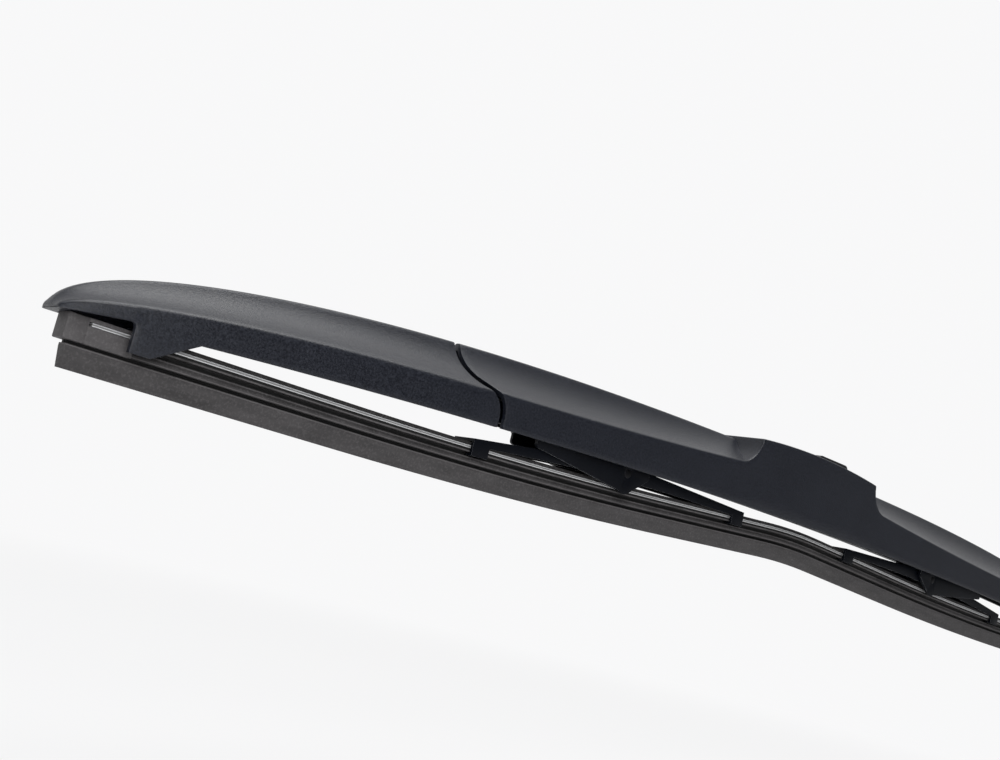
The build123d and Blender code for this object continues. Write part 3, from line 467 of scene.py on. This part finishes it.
# Side covers: spoiler shells moulded from fine-grained black plastic, clipped over the side levers. A hollow
# slope turns the air stream into press on the glass. A blunt nose ends the shell, and a leg hides the claw.
cover_reach = 298.0
cover_half = 10.0
tip_half = 4.55
plan_power = 2.2
cover_wall = 1.4
nose_wall = 3.5
bottom_over_strips = 3.3
bottom_radius = 4300.0
tip_wall_height, wall_rise, hump_rise = 1.5, 9.0, 5.0
crest_low, crest_rise, crest_power = -5.9, 33.2, 2.35
tip_lean, tip_lean_start = 0.9, 250.0
roof_share = 1.6
lever_pivot_x = 156.0
hump_half = 38.5
seam_x = 163.0
seam_lean = 13.0
seam_gap = 2.1
seam_low_z, seam_high_z = strip_middle + 3.0, strip_middle + 20.0
slope_hollow = 0.09
crest_y = 4.0
crest_width = 2.2
rear_lift = 2.5
rear_nose_share = 0.7
leg_start_x, leg_toe_x, leg_heel_x = tip_claw_x - 11.0, tip_claw_x + 1.0, tip_claw_x + 6.7
leg_low_z = strip_z(tip_claw_x) - 4.0
heel_lift = 1.7
nose_lift = 0.6
nose_run_out = 3.5
heel_corner = 1.2


def bottom_z(x):
    """Height of the covers' lower edge."""
    return strip_middle + bottom_over_strips - bottom_radius + sqrt(bottom_radius**2 - x**2)


def foot_z(x, part):
    """Height of a wall's foot. The rear wall stops short, and both walls rise round the heel of the leg."""
    lift = rear_lift if part == "rear" else 0.0
    in_corner = min(max(leg_heel_x + heel_corner - x, 0), heel_corner)
    corner = heel_corner - sqrt(heel_corner**2 - in_corner**2)
    if x > leg_heel_x:
        heel_z, end_x = bottom_z(leg_heel_x) + heel_lift, cover_reach + nose_run_out
        share = (x - leg_heel_x) / (end_x - leg_heel_x)
        rise = (bottom_z(end_x) + nose_lift - heel_z) * share
        return heel_z + rise - corner - lift * rear_nose_share * (1 - share)
    share = max(x - leg_start_x, 0) / (leg_heel_x - leg_start_x)
    return bottom_z(x) + lift + (heel_lift - heel_corner - lift) * share


def ridge_z(x):
    """Height of the edge between the front wall and the slope."""
    wall = tip_wall_height + wall_rise * sqrt(max(1 - (x / cover_reach) ** 4, 0))
    return bottom_z(x) + wall + hump_rise * (max(seam_x - x, 0) / (seam_x - hump_half)) ** 2


def crest_z(x):
    """Height of the crest at the top of the slope."""
    return strip_middle + crest_low + crest_rise * sqrt(max(1 - (x / cover_reach) ** crest_power, 0))


def half_width(x):
    """Half width of the covers, drawn in towards the tip."""
    run_out = max(x - lever_pivot_x, 0) / (cover_reach - lever_pivot_x)
    return tip_half + (cover_half - tip_half) * sqrt(max(1 - run_out**plan_power, 0))


def seam_at(z, shift):
    """Place along the blade of the S-shaped joint between the covers, moved out by shift, at height z."""
    tall = seam_high_z - seam_low_z
    radius = (seam_lean**2 + tall**2) / (4 * seam_lean)
    if z < seam_low_z + (radius - shift) * sin(2 * atan(seam_lean / tall)):
        return seam_x + radius - sqrt((radius - shift) ** 2 - max(z - seam_low_z, 0) ** 2)
    return seam_x + seam_lean - radius + sqrt((radius + shift) ** 2 - max(seam_high_z - z, 0) ** 2)


def cover_point(x, part, t, inset=0.0):
    """A point of the covers' section at x, as y and z: t runs from 0 to 1 along each of its five parts.
    With an inset it is a point of the space inside the shell, whose roof is thicker at the crest."""
    half = half_width(x) - inset
    ridge = ridge_z(x) - inset
    crest = max(crest_z(x) - roof_share * inset, ridge + 0.05)
    back = crest_y * half_width(x) / cover_half
    flat = crest_width / 2 - inset / 3
    front_edge, back_edge = back - flat, back + flat
    lean = tip_lean * (max(x - tip_lean_start, 0) / (cover_reach - tip_lean_start)) ** 2
    if part == "front":
        return -half + lean * t, foot_z(x, part) + (ridge - foot_z(x, part)) * t
    if part == "slope":
        ratio = (0.25 + slope_hollow**2) / (2 * slope_hollow)
        angle = asin(0.5 / ratio) * (2 * t - 1)
        along = 0.5 + ratio * sin(angle)
        deep = slope_hollow + ratio * (cos(angle) - 1)
        run_y, rise = front_edge + half - lean, crest - ridge
        return lean - half + along * run_y + deep * rise, ridge + along * rise - deep * run_y
    if part == "crest":
        return front_edge + (back_edge - front_edge) * t, crest
    if part == "bevel":
        return back_edge + (half - back_edge) * t, crest + (ridge - crest) * t
    return half, ridge + (foot_z(x, part) - ridge) * t


def profile(front, slope, bevel, rear):
    """The section's points as (part, t), from the front wall's foot over the crest to the rear one's."""
    points = [("front", t) for t in front[:-1]] + [("slope", t) for t in slope[:-1]]
    return points + [("crest", 0.0)] + [("bevel", t) for t in bevel[:-1]] + [("rear", t) for t in rear]


def seam_start(part, t, shift, inset):
    """Where a line of the section starts on the seam."""
    x = seam_x
    for _ in range(20):
        x = seam_at(cover_point(x, part, t, inset)[1], shift)
    return x


def add_skin(bm, columns, points, place):
    """A grid with each vertex put where place(column, part, t) says. Returns them by column and row."""
    rows = len(points) - 1
    made = bmesh.ops.create_grid(bm, x_segments=columns, y_segments=rows, size=1.0)["verts"]
    verts = {(round((vert.co.x + 1) / 2 * columns), round((vert.co.y + 1) / 2 * rows)): vert
             for vert in made}
    for (column, row), vert in verts.items():
        vert.co = place(column, *points[row])
    return verts


def edges_along(bm, verts, columns, row):
    """The edges of one line of the section, from end to end."""
    return [bm.edges.get((verts[column, row], verts[column + 1, row])) for column in range(columns)]


def round_edges(bm, edges, rounding, segments):
    """Rounds edges by an equal width on both sides."""
    bmesh.ops.bevel(bm, geom=edges, offset=rounding, affect="EDGES", segments=segments, profile=0.5,
                    material=-1)


def turns(points, parts):
    """Rows of the section where one of these parts starts."""
    return [row for row, (part, t) in enumerate(points) if t == 0.0 and part in parts]


root_inset = 1.1
rib_thick, rib_play = 1.2, 0.1
clip_long, clip_play = 6.0, 0.15
hook_edge, hook_root = 0.6, 1.2


def add_rib(bm, x, sign, channel_top):
    """A rib across the shell at x that stops just over the channel it covers."""
    outline = [cover_point(x, part, t, root_inset) for part, t in (
        ("slope", 0.0), ("slope", 0.5), ("slope", 1.0), ("crest", 1.0), ("rear", 0.0))]
    half, low = half_width(x) - root_inset, channel_top + rib_play
    add_bar(bm, outline + [(half, low), (-half, low)], sign * x, sign * rib_thick)


def add_clip(bm, x, sign, inner_y, channel_low):
    """A barb on the front wall at x that hooks under a channel's lower edge."""
    root, hook_z = half_width(x) - root_inset, channel_low - clip_play
    barb = [(-root, hook_z), (-inner_y, hook_z), (-inner_y, hook_z - hook_edge), (-root, hook_z - hook_root)]
    add_bar(bm, barb, sign * x, sign * clip_long)


cover_plastic, shade = new_finish("cover_plastic")
place = shade.node("ShaderNodeTexCoord", output="Object")
grain = shade.node("ShaderNodeTexNoise", inputs={
    "Vector": place, "Scale": 1700.0, "Detail": 3.0, "Roughness": 0.7})
cloud = shade.node("ShaderNodeTexNoise", inputs={"Vector": place, "Scale": 55.0, "Detail": 5.0})
scuff = shade.node("ShaderNodeTexNoise", inputs={
    "Vector": shade.node("ShaderNodeMapping", inputs={"Vector": place, "Scale": (60.0, 700.0, 500.0)}),
    "Scale": 1.0, "Detail": 6.0, "Roughness": 0.7})
specks = shade.node("ShaderNodeMapRange", inputs={"Value": grain, "From Min": 0.38, "From Max": 0.66})
tone = (cloud * 0.3 + specks * 0.7).blend((0.0012, 0.0020, 0.0050, 1), (0.0175, 0.0200, 0.0290, 1))
cover_bump = shade.node("ShaderNodeBump", inputs={"Strength": 0.6, "Distance": 0.00014, "Height": grain})
spoiler = shade.node("ShaderNodeBsdfPrincipled", inputs={
    "Base Color": tone, "Roughness": 0.27 + 0.08 * cloud + 0.06 * scuff + 0.14 * specks,
    "Specular IOR Level": 0.36, "Normal": cover_bump})
shade.node("ShaderNodeOutputMaterial", inputs={"Surface": spoiler})

flank_steps, slant_steps, foot_steps, nose_steps = 30, 5, 3, 14
leg_columns = range(flank_steps, flank_steps + slant_steps + foot_steps)
corner_stations = [leg_heel_x + heel_corner * share for share in (0.0, 0.13, 0.35, 0.65)]
side_columns = len(leg_columns) + flank_steps + len(corner_stations) + nose_steps
side_points = profile(run(0, 1, 6), run(0, 1, 12), run(0, 1, 6), run(0, 1, 6))
fixed_stations = run(leg_start_x, leg_toe_x, slant_steps)[:-1] + run(leg_toe_x, leg_heel_x, foot_steps)[:-1]
fixed_stations += corner_stations
outer_round, inner_round, rim_round = 0.6, 0.3, 0.22
cover_sharp = 30
lever_under_ridge = 1.8
lever_peak_z = ridge_z(lever_pivot_x) - lever_under_ridge
lever_tip_x = tip_claw_x - 15.0
lever_nose_x = 143.5
lever_fall = (ridge_z(lever_tip_x) - lever_under_ridge - lever_peak_z) / (lever_tip_x - lever_pivot_x)
lever_low_z = bottom_z(lever_nose_x) + 2.0
lever_low_fall = (bottom_z(lever_tip_x) - bottom_z(lever_nose_x)) / (lever_tip_x - lever_nose_x)
side_clip_y = 5.5

for side, sign in (("left", -1), ("right", 1)):
    bm = bmesh.new()
    rims = []
    for inset, end_x, rounding in (
            (0.0, cover_reach, outer_round), (cover_wall, cover_reach - nose_wall, inner_round)):
        def side_place(column, part, t):
            if column < flank_steps:
                start = seam_start(part, t, seam_gap / 2, inset)
                x = start + (leg_start_x - start) * column / flank_steps
            elif column < side_columns - nose_steps:
                x = fixed_stations[column - flank_steps]
            else:
                turn_in = pi / 2 * (column + nose_steps - side_columns) / nose_steps
                x = leg_heel_x + heel_corner + (end_x - leg_heel_x - heel_corner) * sin(turn_in)
            return sign * x, *cover_point(x, part, t, inset)

        verts = add_skin(bm, side_columns, side_points, side_place)
        foot_rows = (0, len(side_points) - 1)
        leg_edges = [edges_along(bm, verts, side_columns, row)[column]
                     for row in foot_rows for column in leg_columns]
        for vert in bmesh.ops.extrude_edge_only(bm, edges=leg_edges)["geom"]:
            if isinstance(vert, bmesh.types.BMVert):
                fall = min((abs(vert.co.x) - leg_start_x) / (leg_toe_x - leg_start_x), 1.0)
                vert.co.z = bottom_z(leg_start_x) + (leg_low_z - bottom_z(leg_start_x)) * fall
        bm.faces.new([verts[side_columns, row] for row in range(len(side_points))])
        soft_row = turns(side_points, ("slope",))[0]
        soft_verts = [verts[column, soft_row + step]
                      for step in (-1, 0, 1) for column in range(1, side_columns)]
        for _ in range(2):
            bmesh.ops.smooth_vert(bm, verts=soft_verts, factor=0.5, use_axis_y=True, use_axis_z=True)
        round_edges(bm, [edge for row in turns(side_points, ("slope", "crest", "bevel", "rear"))
                         for edge in edges_along(bm, verts, side_columns, row)], rounding, 3)
        bmesh.ops.remove_doubles(bm, verts=bm.verts[:], dist=0.0005)
        rims.append([edge for edge in bm.edges if edge.is_boundary and edge not in sum(rims, [])])
    bmesh.ops.bridge_loops(bm, edges=rims[0] + rims[1])
    bmesh.ops.recalc_face_normals(bm, faces=bm.faces[:])
    round_edges(bm, rims[0], rim_round, 2)
    for rib_x in (195.0, 223.0, 251.0):
        add_rib(bm, rib_x, sign, lever_peak_z + lever_fall * (rib_x - lever_pivot_x))
    for clip_x in (207.0, 235.0):
        clip_end = clip_x + clip_long - lever_nose_x
        add_clip(bm, clip_x, sign, side_clip_y, lever_low_z + lever_low_fall * clip_end)
    bmesh.ops.recalc_face_normals(bm, faces=bm.faces[:])
    node = f"side_cover_{side}"
    side_cover = new_piece(f"{node}_shell", bm, cover_plastic, [node], cover_sharp)
    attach(side_cover, f"{side}_lever")


# Centre cover: one shell of the same plastic, clipped over the primary lever, with a hump for the arm.
# The slope runs up into the hump by a round flare at each end, and the pocket in the hump's top is open.
hump_height = 30.2
hump_radius = 380.0
hump_flare = 11.0
hump_fillet = 0.6
pocket_half_x = 33.0
pocket_half_y = 8.5
flare_x = hump_half + hump_flare
flare_z = ridge_z(flare_x) + hump_flare


def dome_z(x):
    """Height of the hump's domed top."""
    return strip_middle + hump_height - hump_radius + sqrt(hump_radius**2 - x**2)


hump_stations = run(0.0, pocket_half_x, 10) + [pocket_half_x + 2.0, pocket_half_x + 4.0]
edge_steps, flare_steps, scoop_steps = 4, 8, 44
pocket_t = (cover_half - pocket_half_y) / (cover_half + crest_y - crest_width / 2)
bevel_t = (pocket_half_y - crest_y - crest_width / 2) / (cover_half - crest_y - crest_width / 2)
centre_points = profile(run(0, 1, 6), [0.0, pocket_t] + run(pocket_t, 1, 11)[1:],
                        [0.0, bevel_t / 2, bevel_t, 1.0], run(0, 1, 6))
half_columns = len(hump_stations) + edge_steps + flare_steps + scoop_steps


def in_pocket(verts):
    """Whether all these vertices lie within the pocket's outline, or on it."""
    slack = 0.01
    return all(abs(vert.co.x) < pocket_half_x + slack and abs(vert.co.y) < pocket_half_y + slack
               for vert in verts)


def centre_half(column, part, t, inset):
    """A point of the right half of the centre cover's skin, or with an inset of the space inside it."""
    if part in ("front", "rear") or (part, t) == ("slope", 0.0):
        flat_y = cover_point(hump_half, part, t, inset)[0]
    elif part == "slope":
        flat_y = -cover_half + (cover_half + crest_y - crest_width / 2) * t
    else:
        flat_y = cover_point(hump_half, part, t)[0]

    def over_wall(top, x):
        share = {"front": t, "rear": 1 - t}.get(part, 1.0)
        return foot_z(x, part) + (top - foot_z(x, part)) * share

    if column < len(hump_stations):
        x = hump_stations[column]
        return x, flat_y, over_wall(dome_z(x) - inset, x)
    column -= len(hump_stations)
    if column <= edge_steps:
        angle = pi / 2 * column / edge_steps
        x = hump_half - inset - hump_fillet * (1 - sin(angle))
        return x, flat_y, over_wall(dome_z(x) - inset - hump_fillet * (1 - cos(angle)), x)
    column -= edge_steps
    radius = hump_flare + inset
    start_angle = asin((flare_z - dome_z(hump_half) + inset + hump_fillet) / radius)
    low, high = start_angle, pi / 2
    if part not in ("front", "rear"):
        for _ in range(40):
            angle = (low + high) / 2
            x = flare_x - radius * cos(angle)
            if flare_z - radius * sin(angle) > cover_point(x, part, t, inset)[1]:
                low = angle
            else:
                high = angle
    crease_x = flare_x - radius * cos(high)
    if column <= flare_steps:
        angle = start_angle + (high - start_angle) * column / flare_steps
        x = flare_x - radius * cos(angle)
        y = flat_y + (cover_point(x, part, t, inset)[0] - flat_y) * column / flare_steps
        return x, y, over_wall(flare_z - radius * sin(angle), x)
    column -= flare_steps
    x = crease_x + (seam_start(part, t, -seam_gap / 2, inset) - crease_x) * column / scoop_steps
    return x, *cover_point(x, part, t, inset)


bm = bmesh.new()
rims, mouths = [], []
hump_columns = len(hump_stations) + edge_steps + flare_steps
for inset, rounding in ((0.0, outer_round), (cover_wall, inner_round)):
    def centre_place(column, part, t):
        x, y, z = centre_half(abs(column - half_columns), part, t, inset)
        return (x if column > half_columns else -x), y, z

    verts = add_skin(bm, 2 * half_columns, centre_points, centre_place)
    ridges = [edge for row in turns(centre_points, ("slope", "rear"))
              for edge in edges_along(bm, verts, 2 * half_columns, row)]
    for row in turns(centre_points, ("crest", "bevel")):
        crest_line = edges_along(bm, verts, 2 * half_columns, row)
        ridges += crest_line[:half_columns - hump_columns] + crest_line[half_columns + hump_columns:]
    skin = set(verts.values())
    pocket = [face for face in bm.faces if skin.issuperset(face.verts) and in_pocket(face.verts)]
    bmesh.ops.delete(bm, geom=pocket, context="FACES")
    round_edges(bm, ridges, rounding, 3)
    open_edges = [edge for edge in bm.edges if edge.is_boundary and edge not in rims + mouths]
    mouth = [edge for edge in open_edges if in_pocket(edge.verts)]
    rim = [edge for edge in open_edges if edge not in mouth]
    if inset:
        bmesh.ops.bridge_loops(bm, edges=rims + rim)
        bmesh.ops.bridge_loops(bm, edges=mouths + mouth)
    else:
        rims, mouths = rim, mouth
bmesh.ops.recalc_face_normals(bm, faces=bm.faces[:])
round_edges(bm, rims + mouths, rim_round, 2)
primary_under_ridge = 1.65
primary_end_z = ridge_z(lever_pivot_x) - primary_under_ridge
primary_rise = tan(radians(3.2))
primary_low_end = 60.0
primary_low_z = strip_middle + 5.5
lever_pin_under_top, lever_end_radius = 2.6, 2.75
pivot_low_z = lever_peak_z - lever_pin_under_top - lever_end_radius
primary_low_fall = (pivot_low_z - primary_low_z) / (lever_pivot_x - primary_low_end)
centre_clip_y = 7.1
for sign in (-1, 1):
    for rib_x in (60.0, 88.0, 116.0):
        add_rib(bm, rib_x, sign, primary_end_z + (lever_pivot_x - rib_x) * primary_rise)
    for clip_x in (74.0, 130.0):
        clip_end = clip_x + clip_long - primary_low_end
        add_clip(bm, clip_x, sign, centre_clip_y, primary_low_z + primary_low_fall * clip_end)
bmesh.ops.recalc_face_normals(bm, faces=bm.faces[:])
centre_shell = new_piece("centre_cover_shell", bm, cover_plastic, ["centre_cover"],
                         cover_sharp)
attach(centre_shell, "frame")
